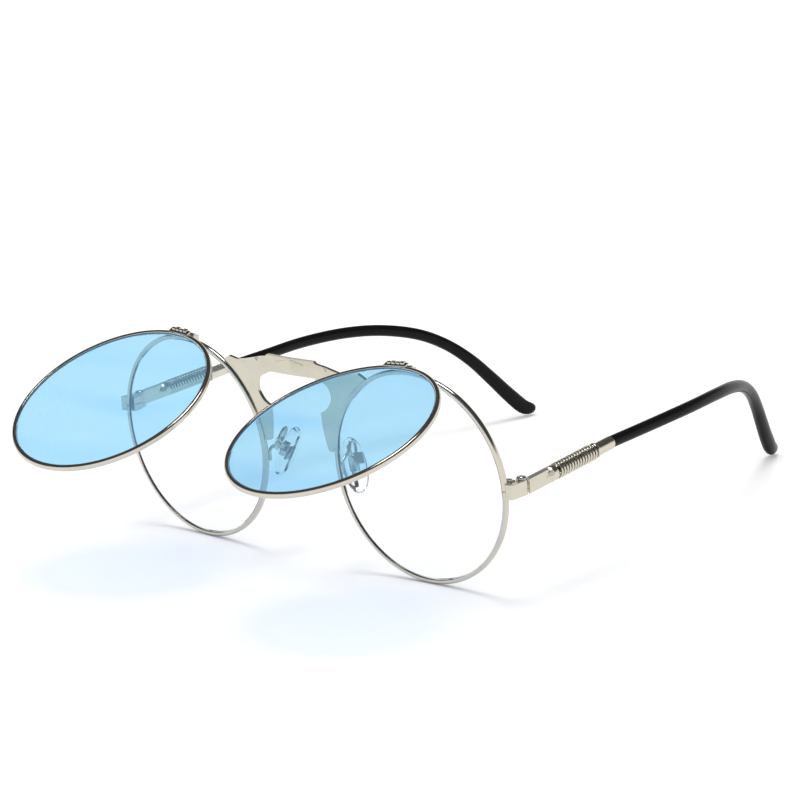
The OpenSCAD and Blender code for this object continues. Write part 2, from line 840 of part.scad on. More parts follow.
// An upright oval slice of the pad, at a share of its full outline
module pad_oval(t, share) {
    rotate([0, 90, 0])
        linear_extrude(t)
            scale([pad_h / pad_w, 1]) circle(d = pad_w * share, $fn = 32);
}

module flip_knuckles(centres, w) {
    for (x = centres)
        translate([x, 0, 0]) rod_x(flip_knuckle_d, w);
}

module flip_base(side) {
    leaf_clear = flip_knuckle_d + 2 * swing_gap;
    base_step = (flip_hinge_w - base_knuckle_w) / 2;
    foot_front = flip_gap + 0.15;
    color(silver)
        side_of(side)
            at_flip_axis()
                difference() {
                    union() {
                        flip_knuckles([-base_step, 0, base_step], base_knuckle_w);
                        translate([-flip_hinge_w / 2, foot_front, -flip_axis_rise - 0.5])
                            cube([flip_hinge_w, rim_depth - foot_front - 0.1, flip_axis_rise + 0.5]);
                    }
                    for (x = [-leaf_step, leaf_step])
                        translate([x, 0, 0]) rod_x(leaf_clear, leaf_knuckle_w + 2 * side_gap);
                    rod_x(flip_pin_d + 2 * running_gap, 2 * flip_hinge_w);
                    translate([0, 0, -rim_r - flip_axis_rise])
                        rotate([-90, 0, 0])
                            cylinder(r = rim_r + solder_gap, h = rim_depth + 1, $fn = 180);
                }
}

module flip_pin(side) {
    head_t = 0.2;
    color(silver)
        side_of(side)
            at_flip_axis() {
                rod_x(flip_pin_d, flip_hinge_w + 2 * solder_gap);
                for (s = [-1, 1])
                    translate([s * (flip_hinge_w / 2 + solder_gap + head_t / 2), 0, 0])
                        rod_x(flip_pin_d + 0.4, head_t);
            }
}

module flip_leaf(side) {
    strap_h = 1.5;
    lump_d = 0.9;
    lump_w = 1;
    lump_step = 1.35;
    lumps = 4;
    strap_top = -flip_drop + 0.45;
    color(silver)
        side_of(side)
            at_flip(side)
                difference() {
                    union() {
                        flip_knuckles([-leaf_step, leaf_step], leaf_knuckle_w);
                        for (x = [-leaf_step, leaf_step])
                            translate([x - leaf_knuckle_w / 2, -ring_front - strap_t, -flip_drop])
                                cube([leaf_knuckle_w, ring_front + strap_t - flip_gap, flip_drop]);
                        translate([-flip_hinge_w / 2, -ring_front - strap_t, strap_top - strap_h])
                            cube([flip_hinge_w, strap_t - solder_gap, strap_h]);
                        translate([0, -ring_front - strap_t, strap_top - lump_d / 2])
                            for (i = [0 : lumps - 1])
                                translate([(i - (lumps - 1) / 2) * lump_step, 0, 0])
                                    rod_x(lump_d, lump_w);
                    }
                    rod_x(flip_pin_d + 2 * running_gap, 2 * flip_hinge_w);
                    translate([0, -ring_front - solder_gap, -flip_ring_drop])
                        rotate([-90, 0, 0])
                            cylinder(r = rim_r + solder_gap, h = rim_depth + 2, $fn = 180);
                }
}

module flip_ring(side) {
    color(silver)
        side_of(side)
            at_flip(side)
                translate([0, -ring_front, -flip_ring_drop]) wire_ring();
}

module tinted_lens(side) {
    color(tint)
        side_of(side)
            at_flip(side)
                translate([0, -ring_front, -flip_ring_drop]) lens_disc();
}

bridge_plate();
eyewire("left");  // left_eyewire
eyewire("right");  // right_eyewire
clear_lens("left");  // left_clear_lens
clear_lens("right");  // right_clear_lens
end_piece("left");  // left_end_piece
end_piece("right");  // right_end_piece
closing_block("left", true);  // left_closing_block_upper
closing_block("right", true);  // right_closing_block_upper
closing_block("left", false);  // left_closing_block_lower
closing_block("right", false);  // right_closing_block_lower
closing_screw("left");  // left_closing_screw
closing_screw("right");  // right_closing_screw
hinge_screw("left");  // left_hinge_screw
hinge_screw("right");  // right_hinge_screw
temple_bar("left");  // left_temple_bar
temple_bar("right");  // right_temple_bar
temple_core("left");  // left_temple_core
temple_core("right");  // right_temple_core
temple_spring("left");  // left_temple_spring
temple_spring("right");  // right_temple_spring
temple_sleeve("left");  // left_temple_sleeve
temple_sleeve("right");  // right_temple_sleeve
temple_tip("left");  // left_temple_tip
temple_tip("right");  // right_temple_tip
pad_arm("left");  // left_pad_arm
pad_arm("right");  // right_pad_arm
pad_box("left");  // left_pad_box
pad_box("right");  // right_pad_box
pad_screw("left");  // left_pad_screw
pad_screw("right");  // right_pad_screw
pad_core("left");  // left_pad_core
pad_core("right");  // right_pad_core
nose_pad("left");  // left_nose_pad
nose_pad("right");  // right_nose_pad
flip_base("left");  // left_flip_base
flip_base("right");  // right_flip_base
flip_pin("left");  // left_flip_pin
flip_pin("right");  // right_flip_pin
flip_ring("left");  // left_flip_ring
flip_ring("right");  // right_flip_ring
flip_leaf("left");  // left_flip_leaf
flip_leaf("right");  // right_flip_leaf
tinted_lens("left");  // left_tinted_lens
tinted_lens("right");  // right_tinted_lens
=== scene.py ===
"""Round metal glasses with a second pair of tinted lenses that flip up."""
import json
import math

import bmesh
import bpy
import numpy as np
from bpy.props import FloatProperty, FloatVectorProperty, IntProperty, PointerProperty
from mathutils import Matrix, Vector

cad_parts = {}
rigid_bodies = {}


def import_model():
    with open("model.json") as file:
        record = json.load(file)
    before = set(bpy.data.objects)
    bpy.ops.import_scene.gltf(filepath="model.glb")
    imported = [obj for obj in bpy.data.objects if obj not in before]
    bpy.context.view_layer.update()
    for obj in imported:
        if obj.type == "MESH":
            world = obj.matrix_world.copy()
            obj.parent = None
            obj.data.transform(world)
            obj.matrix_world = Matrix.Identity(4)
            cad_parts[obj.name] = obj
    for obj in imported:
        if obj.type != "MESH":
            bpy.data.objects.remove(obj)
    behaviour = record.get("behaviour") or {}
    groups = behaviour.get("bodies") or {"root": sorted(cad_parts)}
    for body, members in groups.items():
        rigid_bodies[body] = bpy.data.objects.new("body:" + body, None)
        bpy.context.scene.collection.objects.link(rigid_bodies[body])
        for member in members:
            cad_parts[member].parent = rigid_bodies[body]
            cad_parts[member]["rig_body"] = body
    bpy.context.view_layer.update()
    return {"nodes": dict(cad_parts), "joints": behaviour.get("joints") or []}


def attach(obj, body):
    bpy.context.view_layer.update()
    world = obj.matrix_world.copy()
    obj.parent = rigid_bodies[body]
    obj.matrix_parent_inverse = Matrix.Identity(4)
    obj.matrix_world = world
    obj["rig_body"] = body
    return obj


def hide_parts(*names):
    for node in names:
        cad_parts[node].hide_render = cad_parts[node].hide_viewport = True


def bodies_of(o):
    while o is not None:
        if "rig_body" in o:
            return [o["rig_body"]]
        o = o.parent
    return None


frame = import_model()

bl_info = {
    "name": "Flip up glasses",
    "version": (1, 0, 0),
    "blender": (4, 5, 0),
    "location": "View3D > Sidebar > Glasses",
    "description": "Makes the visible pieces of round glasses with lenses that flip up",
    "category": "Object",
}

SIDES = ("left", "right")
OUTWARD = {"left": 1, "right": -1}
RIGHTWARD = Vector((-1, 0, 0))
BACK = Vector((0, 1, 0))
UP = Vector((0, 0, 1))
MM = 0.001

# Corners closer than this are one corner, and CAD faces that meet flatter than this are one face
MERGE_DISTANCE = 1e-6
FLAT_ANGLE = math.radians(0.3)
# Edges sharper than the first are rounded. Those sharper than the others stay sharp in the
# shading of a plain and of a round piece
BEVEL_ANGLE = math.radians(24)
SHARP_ANGLE = math.radians(32)
ROUND_SHARP_ANGLE = math.radians(60)

RING_STEPS = 192
RING_CORNER_STEPS = 3
SPRING_STEPS = 24
SPRING_SIDES = 10
CORE_SIDES = 16
TIP_SIDES = 32
PAD_STEPS = 48
PAD_CORNER_STEPS = 6

# Shares of a lens's radius at which its faces have a ring of corners
LENS_RINGS = (0.0, 0.35, 0.7, 1.0)

# How far the wound wire keeps inside its CAD solid
SPRING_SKIN = 0.01 * MM

# Rise of a tip to its crest: how far it bows outwards, and shares of its run and of its climb
RISE_SHAPE = ((0.3 * MM, 0.33, 0.42), (0.5 * MM, 0.68, 0.9))
# Bend of a tip down to its end: shares of its inset, of the bend's run and of its drop
BEND_SHAPE = (
    (0.07, 0, 0.99), (0.22, 0.21, 0.95), (0.40, 0.40, 0.86), (0.545, 0.545, 0.725),
    (0.675, 0.66, 0.555), (0.78, 0.755, 0.37), (0.88, 0.85, 0.175), (0.955, 0.93, 0.035),
    (1, 1, 0),
)
# Steps between two points of a tip's route, the steps over which its end is rounded off, and the
# share of its size that is left at the very end
TIP_STEPS = 8
TIP_END_STEPS = 14
TIP_END_SHARE = 0.12
# Steps between two points of the route for the core wire, and the steps that it runs along it
CORE_STEPS = 3
CORE_POINTS = 28

# Rise of each step of a pad's crown, in half thicknesses, and the steps' width, in half widths
PAD_CROWN = (0.13, 0.07, 0.03)
PAD_CROWN_STEP = 0.15

WORN_METAL = (0.86, 0.85, 0.82)

# The studio that metal and glass mirror: a dark roof that starts between two heights, with streaks
ROOF_HEIGHTS = (0.20, 0.46)
ROOF_DARKNESS = 0.985
STREAK_AXIS = (-0.18, 0.81, -0.55)
STREAK_SCALE = 48
STREAK_SHIFT = 3.0
STREAK_LEVELS = (0.42, 0.7)
STREAK_SHINE = 0.15
LAMP_DIRECTION = (-0.085, 0.09, 0.99)
FLOOR_HALF = 3.0
FLOOR_GLOW = 0.1
SENSOR_WIDTH = 36.0
CLIP_NEAR, CLIP_FAR = 0.01, 20.0


class MetalSizes(bpy.types.PropertyGroup):
    """Sizes of the wires, plates and springs."""

    wire_corner: FloatProperty(
        name="Wire corner", description="Rounding of the corners of the wire round a lens",
        default=0.19 * MM, unit="LENGTH")
    wire_chamfer: FloatProperty(
        name="Wire chamfer", description="Width of the chamfers on the outside of that wire",
        default=0.35 * MM, unit="LENGTH")
    wire_crown: FloatProperty(
        name="Wire crown", description="How far the outside of that wire bulges",
        default=0.05 * MM, unit="LENGTH")
    wire_lip: FloatProperty(
        name="Wire lip", description="Width of the chamfers on the inside of that wire",
        default=0.15 * MM, unit="LENGTH")
    groove_depth: FloatProperty(
        name="Groove depth", description="Depth of the lens groove",
        default=0.35 * MM, unit="LENGTH")
    groove_slack: FloatProperty(
        name="Groove slack", description="How much wider than deep each half of the groove is",
        default=0.1 * MM, unit="LENGTH")
    groove_corner: FloatProperty(
        name="Groove corner", description="Rounding of the edges of the wire's inside",
        default=0.05 * MM, unit="LENGTH")
    plate_edge: FloatProperty(
        name="Plate edge", description="Rounding of the edges of the bridge plate",
        default=0.04 * MM, unit="LENGTH")
    lug_edge: FloatProperty(
        name="Lug edge", description="Rounding of the edges of end pieces and temple bars",
        default=0.14 * MM, unit="LENGTH")
    fine_edge: FloatProperty(
        name="Fine edge", description="Rounding of the edges of hinges and screws",
        default=0.06 * MM, unit="LENGTH")
    split_gap: FloatProperty(
        name="Split", description="Width of the split in each eyewire, behind its end piece",
        default=0.2 * MM, unit="LENGTH")
    spring_wire: FloatProperty(
        name="Spring wire", description="Diameter of the wire of the temple springs",
        default=0.54 * MM, unit="LENGTH")
    spring_turns: IntProperty(
        name="Spring turns", description="Turns of each temple spring", default=14)
    core_wire: FloatProperty(
        name="Core wire", description="Diameter of the wire inside spring and tip",
        default=1.5 * MM, unit="LENGTH")


class LensSizes(bpy.types.PropertyGroup):
    """Sizes of the clear and tinted lenses."""

    base_curve: FloatProperty(
        name="Base curve", description="How far the middle of a lens stands out from its edge",
        default=0.12 * MM, unit="LENGTH")
    bevel: FloatProperty(
        name="Bevel", description="Width of the bevel round each face of a lens",
        default=0.47 * MM, unit="LENGTH")
    land: FloatProperty(
        name="Land", description="Width of the flat on the edge of a lens",
        default=0.08 * MM, unit="LENGTH")


class TipSizes(bpy.types.PropertyGroup):
    """Sizes of the black temple tips."""

    start_d: FloatProperty(
        name="Start", description="Diameter of a tip where it leaves its sleeve",
        default=2.9 * MM, unit="LENGTH")
    bend_d: FloatProperty(
        name="Bend", description="Height of a tip where it bends down",
        default=3.1 * MM, unit="LENGTH")
    bend_w: FloatProperty(
        name="Bend width", description="Width of a tip where it bends down",
        default=3.07 * MM, unit="LENGTH")
    end_w: FloatProperty(
        name="End width", description="Width of the rounded end of a tip",
        default=4.6 * MM, unit="LENGTH")
    end_t: FloatProperty(
        name="End thickness", description="Thickness of the rounded end of a tip",
        default=3.1 * MM, unit="LENGTH")
    sleeve_gap: FloatProperty(
        name="Sleeve gap", description="Gap between a sleeve and its tip",
        default=0.02 * MM, unit="LENGTH")
    straight: FloatProperty(
        name="Straight", description="Straight stretch of a tip behind its sleeve",
        default=0.8 * MM, unit="LENGTH")
    length: FloatProperty(
        name="Temple length", description="Distance from the hinge to the end of the tip",
        default=125.5 * MM, unit="LENGTH")
    bend_run: FloatProperty(
        name="Bend run", description="Distance over which a tip bends down",
        default=52 * MM, unit="LENGTH")
    inset: FloatProperty(
        name="Inset", description="How far the end of a tip lies inwards of its temple",
        default=23 * MM, unit="LENGTH")
    end_height: FloatProperty(
        name="End height", description="Height of the middle of a tip's end above the floor",
        default=1.75 * MM, unit="LENGTH")
    left_crest: FloatProperty(
        name="Left crest", description="Height of the left temple's highest stretch",
        default=31 * MM, unit="LENGTH")
    right_crest: FloatProperty(
        name="Right crest", description="Height of the right temple's highest stretch",
        default=32.4 * MM, unit="LENGTH")


class PadSizes(bpy.types.PropertyGroup):
    """Sizes of the nose pads and of what carries them."""

    core_edge: FloatProperty(
        name="Core edge", description="Rounding of the edges of a pad's stiff core",
        default=0.24 * MM, unit="LENGTH")
    box_edge: FloatProperty(
        name="Box edge", description="Rounding of the edges of the small metal box",
        default=0.18 * MM, unit="LENGTH")
    plate: FloatProperty(
        name="Plate", description="Share of a pad's thickness that lies below its crown",
        default=0.85, subtype="FACTOR")
    skin_rounding: FloatProperty(
        name="Skin rounding", description="Rounding on the nose's side, in half thicknesses",
        default=1.0, subtype="FACTOR")
    back_rounding: FloatProperty(
        name="Back rounding", description="Rounding on the box's side, in half thicknesses",
        default=0.5, subtype="FACTOR")


class Finishes(bpy.types.PropertyGroup):
    """Colours of the finishes."""

    silver: FloatVectorProperty(
        name="Silver", description="Polished plating of the wires", subtype="COLOR",
        default=(0.70, 0.65, 0.57))
    champagne: FloatVectorProperty(
        name="Champagne", description="Plating of the plates, lugs and springs", subtype="COLOR",
        default=(0.70, 0.66, 0.55))
    steel: FloatVectorProperty(
        name="Steel", description="Screws, pins and core wires", subtype="COLOR",
        default=(0.66, 0.65, 0.62))
    tint: FloatVectorProperty(
        name="Tint", description="Light that the flip-up lenses let through", subtype="COLOR",
        default=(0.47, 0.80, 1.0))
    black: FloatVectorProperty(
        name="Black", description="Glossy plastic of the tips", subtype="COLOR",
        default=(0.006, 0.006, 0.007))
    silicone: FloatVectorProperty(
        name="Silicone", description="Clear soft nose pads", subtype="COLOR",
        default=(0.97, 0.98, 0.98))


class ViewSizes(bpy.types.PropertyGroup):
    """Where the camera stands, and how the glasses are lit."""

    azimuth: FloatProperty(
        name="Azimuth", description="Direction of the camera round the glasses",
        default=math.radians(43.782), subtype="ANGLE")
    elevation: FloatProperty(
        name="Elevation", description="Angle of the camera above the horizon",
        default=math.radians(14.310), subtype="ANGLE")
    roll: FloatProperty(
        name="Roll", description="Turn of the camera about its line of sight",
        default=math.radians(-3.874), subtype="ANGLE")
    distance: FloatProperty(
        name="Distance", description="Distance from the camera to the point it looks at",
        default=724.378 * MM, unit="LENGTH")
    target: FloatVectorProperty(
        name="Target", subtype="TRANSLATION", unit="LENGTH",
        description="Point it looks at, from the middle, the temple hinges and the floor",
        default=(33.287 * MM, -6.708 * MM, 44.183 * MM))
    focal_length: FloatProperty(
        name="Focal length", description="Focal length of the camera",
        default=141.345, unit="CAMERA")
    fill: FloatProperty(
        name="Fill", description="Level of the light that comes from all round", default=0.76)
    key: FloatProperty(
        name="Key", description="Level on the floor of the soft lamp overhead", default=0.28)
    key_angle: FloatProperty(
        name="Key angle", description="Width of that lamp, seen from the glasses",
        default=math.radians(22), subtype="ANGLE")


def sizes(group):
    """The scene's values of one group."""
    return getattr(bpy.context.scene, "glasses_" + group)


class Channel:
    """A number that varies over a surface. Each operator adds the Math node that it stands for."""

    def __init__(self, sheet, socket):
        self.sheet, self.socket = sheet, socket

    def math(self, operation, first, second):
        node = self.sheet.node("Math", {"operation": operation}, {0: first, 1: second})
        return Channel(self.sheet, node.outputs[0])

    def __add__(self, other):
        return self.math("ADD", self, other)

    def __radd__(self, other):
        return self.math("ADD", other, self)

    def __sub__(self, other):
        return self.math("SUBTRACT", self, other)

    def __rsub__(self, other):
        return self.math("SUBTRACT", other, self)

    def __mul__(self, other):
        return self.math("MULTIPLY", self, other)

    def __rmul__(self, other):
        return self.math("MULTIPLY", other, self)

    def either(self, other):
        """The greater of two numbers, so 1 where one of two yes or no numbers is 1."""
        return self.math("MAXIMUM", self, other)

    def ramp(self, low, high):
        """0 below low, 1 above high and smooth between them."""
        settings = {"interpolation_type": "SMOOTHSTEP"}
        values = {"Value": self, "From Min": low, "From Max": high}
        return Channel(self.sheet, self.sheet.node("MapRange", settings, values).outputs[0])

    def any(self):
        """0 for a count of 0, and 1 for a count of 1 or more."""
        return self.ramp(0.4, 0.6)


class Sheet:
    """The node tree of one material or world."""

    def __init__(self, tree):
        self.tree = tree
        tree.nodes.clear()

    def node(self, kind, settings=None, values=None):
        """Adds one node, with its settings first and then its sockets' values or links."""
        node = self.tree.nodes.new("ShaderNode" + kind)
        for name, value in (settings or {}).items():
            setattr(node, name, value)
        for name, value in (values or {}).items():
            self.feed(node.inputs[name], value)
        return node

    def feed(self, socket, value):
        """Links a channel or a socket, or sets a plain value."""
        if isinstance(value, Channel):
            value = value.socket
        if isinstance(value, bpy.types.NodeSocket):
            self.tree.links.new(value, socket)
        elif socket.type == "RGBA":
            socket.default_value = (*value, 1)
        else:
            socket.default_value = value

    def coordinates(self, stretch=(1, 1, 1)):
        """The piece's own coordinates, squeezed along each axis."""
        place = self.node("TexCoord").outputs["Object"]
        return self.node("Mapping", None, {"Vector": place, "Scale": stretch}).outputs[0]

    def noise(self, scale, detail, stretch=(1, 1, 1)):
        """Smooth noise from 0 to 1, with features of 1/scale metres."""
        values = {"Vector": self.coordinates(stretch), "Scale": scale, "Detail": detail}
        return Channel(self, self.node("TexNoise", None, values).outputs["Fac"])

    def attribute(self, name):
        """A number stored on the piece's mesh."""
        return Channel(self, self.node("Attribute", {"attribute_name": name}).outputs["Fac"])

    def ray(self, name):
        """A number about the ray that meets the surface, such as whether it casts a shadow."""
        return Channel(self, self.node("LightPath").outputs[name])

    def mix(self, share, first, second):
        """A colour between two colours."""
        values = {"Factor": share, 6: first, 7: second}
        return self.node("Mix", {"data_type": "RGBA"}, values).outputs[2]

    def bump(self, height, distance, strength):
        """A normal that follows a height, in metres."""
        values = {"Height": height, "Distance": distance, "Strength": strength}
        return self.node("Bump", None, values).outputs[0]

    def output(self, shader):
        """Makes a shader the surface of the material."""
        self.node("OutputMaterial", None, {"Surface": shader.outputs[0]})

    def output_open(self, shader, rays, colour):
        """The same, but some rays go straight through and take on a colour."""
        opening = self.node("BsdfTransparent", None, {"Color": colour})
        values = {0: rays, 1: shader.outputs[0], 2: opening.outputs[0]}
        self.output(self.node("MixShader", None, values))


def new_material(name):
    """(material, its sheet)"""
    material = bpy.data.materials.new(name)
    material.use_nodes = True
    return material, Sheet(material.node_tree)


def darker(colour, share):
    """A colour at a share of its brightness."""
    return tuple(channel * share for channel in colour)


def metal(name, colour, roughness, grain, scratch, worn, stretch=(1, 1, 1)):
    """Plated or bare metal with a fine grain, faint stains, and edges worn smooth and bright."""
    material, sheet = new_material(name)
    stain = sheet.noise(260, 3)
    fine = sheet.noise(grain, 3, stretch)
    wear = sheet.attribute("edge_wear") * worn
    shade = sheet.mix(stain.ramp(0.35, 0.75) * 0.5, colour, darker(colour, 0.9))
    shade = sheet.mix(wear, shade, WORN_METAL)
    rough = roughness + (fine - 0.5) * (0.5 * roughness) + (stain - 0.5) * (0.3 * roughness)
    rough = rough - wear * (0.5 * roughness)
    sheet.output(sheet.node("BsdfPrincipled", None, {
        "Base Color": shade,
        "Metallic": 1.0,
        "Roughness": rough,
        "Normal": sheet.bump(fine, scratch, 0.5),
    }))
    return material


def polished_silver():
    """Bright plating with hair-fine polishing marks."""
    return metal(
        "polished_silver", sizes("finish").silver,
        roughness=0.10, grain=2600, scratch=0.004 * MM, worn=0.3)


def satin_champagne():
    """Satin plating, brushed along the plate."""
    return metal(
        "satin_champagne", sizes("finish").champagne,
        roughness=0.22, grain=3800, scratch=0.006 * MM, worn=0.6, stretch=(0.25, 1, 1))


def turned_steel():
    """Bright steel of screws and pins."""
    return metal(
        "turned_steel", sizes("finish").steel,
        roughness=0.2, grain=5200, scratch=0.006 * MM, worn=0.5, stretch=(1, 1, 0.3))


def wound_wire():
    """Polished wound wire with drawing lines."""
    return metal(
        "wound_wire", sizes("finish").champagne,
        roughness=0.1, grain=4200, scratch=0.004 * MM, worn=0.0, stretch=(1, 0.3, 1))


def painted_shade_core_steel():
    """Duller drawn wire, seen between the turns of a spring, with its colour darkened to a quarter
    of the steel's as painted shade in the gaps between the turns.
    """
    return metal(
        # Painted shade: a quarter of the steel's brightness keeps the gaps between the spring's
        # turns dark
        "painted_shade_core_steel", darker(sizes("finish").steel, 0.25),
        roughness=0.3, grain=4200, scratch=0.006 * MM, worn=0.0, stretch=(1, 0.2, 1))


def glass(name, colour, painted_band_colour, shadow, clarity, ior, smudge):
    """Glass with faint smudges, which lets light through, with soft darker bands painted into its
    tint as painted reflections of the studio.
    """
    material, sheet = new_material(name)
    smudges = sheet.noise(90, 4).ramp(0.5, 0.8)
    # Painted reflection: soft darker bands in the tint stand in for reflections of the studio
    painted_reflection_bands = sheet.noise(60, 1, (0.2, 1.1, 2.4)).ramp(0.3, 0.6)
    lens_shader = sheet.node("BsdfPrincipled", None, {
        "Base Color": sheet.mix(painted_reflection_bands, painted_band_colour, colour),
        "Transmission Weight": clarity,
        "IOR": ior,
        "Roughness": smudges * smudge,
    })
    light = sheet.ray("Is Shadow Ray").either(sheet.ray("Is Diffuse Ray"))
    sheet.output_open(lens_shader, light, shadow)
    return material


def clear_glass():
    """Clear lens."""
    clear = (0.985, 0.992, 0.995)
    return glass(
        "clear_glass", clear, painted_band_colour=darker(clear, 0.995), shadow=(0.96, 0.97, 0.975),
        clarity=1.0, ior=1.45, smudge=0.01)


def tinted_glass():
    """Light blue lens."""
    tint = sizes("finish").tint
    # Colour of the painted reflection bands, a deeper tint
    painted_band_colour = (tint[0] * 0.84, tint[1] * 0.92, tint[2])
    return glass(
        "tinted_glass", tint, painted_band_colour=painted_band_colour, shadow=(0.74, 0.84, 1.0),
        clarity=0.9, ior=1.4, smudge=0.008)


def glossy_black():
    """Black plastic with a soft gloss and faint handling marks."""
    material, sheet = new_material("glossy_black")
    marks = sheet.noise(700, 4, (1, 0.15, 1))
    waviness = sheet.noise(120, 2)
    black = sizes("finish").black
    sheet.output(sheet.node("BsdfPrincipled", None, {
        "Base Color": sheet.mix(marks.ramp(0.5, 0.9), black, (0.010, 0.010, 0.012)),
        "Roughness": 0.2 + marks * 0.1,
        "Specular IOR Level": 0.12,
        "Normal": sheet.bump(waviness, 0.02 * MM, 0.4),
    }))
    return material


def clear_silicone():
    """Clear soft silicone with a slightly frosted skin."""
    material, sheet = new_material("clear_silicone")
    frost = sheet.noise(900, 3)
    silicone = sizes("finish").silicone
    pad_shader = sheet.node("BsdfPrincipled", None, {
        "Base Color": sheet.mix(frost, silicone, darker(silicone, 0.96)),
        "Transmission Weight": 1.0,
        "IOR": 1.3,
        "Roughness": 0.02 + frost.ramp(0.4, 0.8) * 0.05,
        "Normal": sheet.bump(frost, 0.01 * MM, 0.2),
    })
    sheet.output_open(pad_shader, sheet.ray("Is Shadow Ray"), (0.9, 0.92, 0.92))
    return material


def clear_plastic():
    """Stiff clear core of a nose pad, with a grey cast."""
    material, sheet = new_material("clear_plastic")
    clouds = sheet.noise(1200, 2)
    sheet.output(sheet.node("BsdfPrincipled", None, {
        "Base Color": sheet.mix(clouds, (0.72, 0.76, 0.78), (0.60, 0.64, 0.67)),
        "Transmission Weight": 0.85,
        "IOR": 1.45,
        "Roughness": 0.06 + clouds * 0.06,
    }))
    return material


FINISHES = {
    "silver_wire": polished_silver,
    "champagne_plate": satin_champagne,
    "screw_steel": turned_steel,
    "spring_steel": wound_wire,
    "core_steel": painted_shade_core_steel,
    "clear_lens": clear_glass,
    "tinted_lens": tinted_glass,
    "black_tip": glossy_black,
    "pad_silicone": clear_silicone,
    "clear_core": clear_plastic,
}


def finish_of(slot):
    """The material of a slot, made once."""
    maker = FINISHES[slot]
    return bpy.data.materials.get(maker.__name__) or maker()


def body_of(node):
    """The body that carries a CAD node."""
    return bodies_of(frame["nodes"][node])[0]


def add_piece(bm, node, slot, smooth=SHARP_ANGLE):
    """Turns a bmesh into the piece that stands for one CAD node and moves with its body."""
    name = node + "_finished"
    bmesh.ops.recalc_face_normals(bm, faces=bm.faces)
    mesh = bpy.data.meshes.new(name)
    bm.to_mesh(mesh)
    bm.free()
    mesh.shade_smooth()
    mesh.set_sharp_from_angle(angle=smooth)
    mesh.materials.append(finish_of(slot))
    piece = bpy.data.objects.new(name, mesh)
    bpy.context.scene.collection.objects.link(piece)
    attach(piece, body_of(node))
    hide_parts(node)
    return piece


def cad_mesh(node):
    """A merged copy of a CAD node's mesh, with its flat faces whole."""
    bm = bmesh.new()
    bm.from_mesh(frame["nodes"][node].data)
    bmesh.ops.remove_doubles(bm, verts=bm.verts, dist=MERGE_DISTANCE)
    bmesh.ops.dissolve_limit(
        bm, angle_limit=FLAT_ANGLE, verts=bm.verts, edges=bm.edges, delimit=set())
    return bm


def cad_points(node):
    """The corners of a CAD node, each once."""
    bm = cad_mesh(node)
    points = np.array([corner.co for corner in bm.verts])
    bm.free()
    return points


def main_axes(points):
    """(middle, directions from the widest spread to the least) of some points."""
    middle = points.mean(axis=0)
    return middle, np.linalg.svd(points - middle, full_matrices=False)[2]


def facing(direction, way):
    """A direction, turned round where it points against a way."""
    direction = Vector(direction)
    return direction if direction.dot(way) > 0 else -direction


def placed(x_axis, y_axis, z_axis, origin):
    """The frame with these axes and this origin."""
    seat = Matrix((x_axis, y_axis, z_axis)).transposed().to_4x4()
    seat.translation = origin
    return seat


def disc_seat(node):
    """The frame in the middle of a lens: Y along its axis towards the back, X level."""
    middle, axes = main_axes(cad_points(node))
    back = facing(axes[2], BACK)
    level = back.cross(UP).normalized()
    return placed(level, back, level.cross(back), Vector(middle))


def reach(node, seat):
    """(least radius, greatest radius, front, back) of a ring or disc in its own frame."""
    inverse = np.array(seat.inverted())
    points = cad_points(node) @ inverse[:3, :3].T + inverse[:3, 3]
    radii = np.hypot(points[:, 0], points[:, 2])
    return radii.min(), radii.max(), points[:, 1].min(), points[:, 1].max()


def temple_hinge(side):
    """Where the hinge of a temple is."""
    return Vector(next(
        joint["pos_m"] for joint in frame["joints"] if joint["name"] == side + "_temple_hinge"))


def temple_line(side):
    """(middle, direction towards the back) of the temple's straight part."""
    middle, axes = main_axes(cad_points(side + "_temple_sleeve"))
    return Vector(middle), facing(axes[0], BACK)


def span(node, origin, along):
    """(start, end) of a CAD node along a line."""
    distances = (cad_points(node) - np.array(origin)) @ np.array(along)
    return distances.min(), distances.max()


def rounded_copy(node, slot, width, segments=2):
    """A copy of a CAD node with its sharp edges rounded and marked as worn."""
    bm = cad_mesh(node)
    wear = bm.faces.layers.float.new("edge_wear")
    edges = [
        edge for edge in bm.edges
        if edge.is_manifold and edge.calc_face_angle(0) > BEVEL_ANGLE
    ]
    rounded = bmesh.ops.bevel(
        bm, geom=edges, offset=width, offset_type="OFFSET", affect="EDGES", segments=segments,
        profile=0.5, material=-1, clamp_overlap=True)
    for face in rounded["faces"]:
        face[wear] = 1.0
    piece = add_piece(bm, node, slot)
    flats = piece.modifiers.new("Flat faces", "WEIGHTED_NORMAL")
    flats.weight, flats.keep_sharp = 100, True


def curve_through(points, steps):
    """Points along a smooth curve through some points, with even steps between each two."""
    ends = [points[0], *points, points[-1]]
    route = []
    for a, b, c, d in zip(ends, ends[1:], ends[2:], ends[3:]):
        for k in range(steps):
            t = k / steps
            bend = (2 * a - 5 * b + 4 * c - d) * t * t + (3 * b - a - 3 * c + d) * t ** 3
            route.append(0.5 * (2 * b + (c - a) * t + bend))
    return [*route, points[-1]]


def stations(route, halves, level):
    """The frame of each ring of a tube: X and Y its half height and half width, Z its heading."""
    rings = []
    for i, point in enumerate(route):
        heading = (route[min(i + 1, len(route) - 1)] - route[max(i - 1, 0)]).normalized()
        up = heading.cross(level).normalized()
        across = up.cross(heading)
        half_height, half_width = halves[i]
        rings.append(placed(up * half_height, across * half_width, heading, point))
    return rings


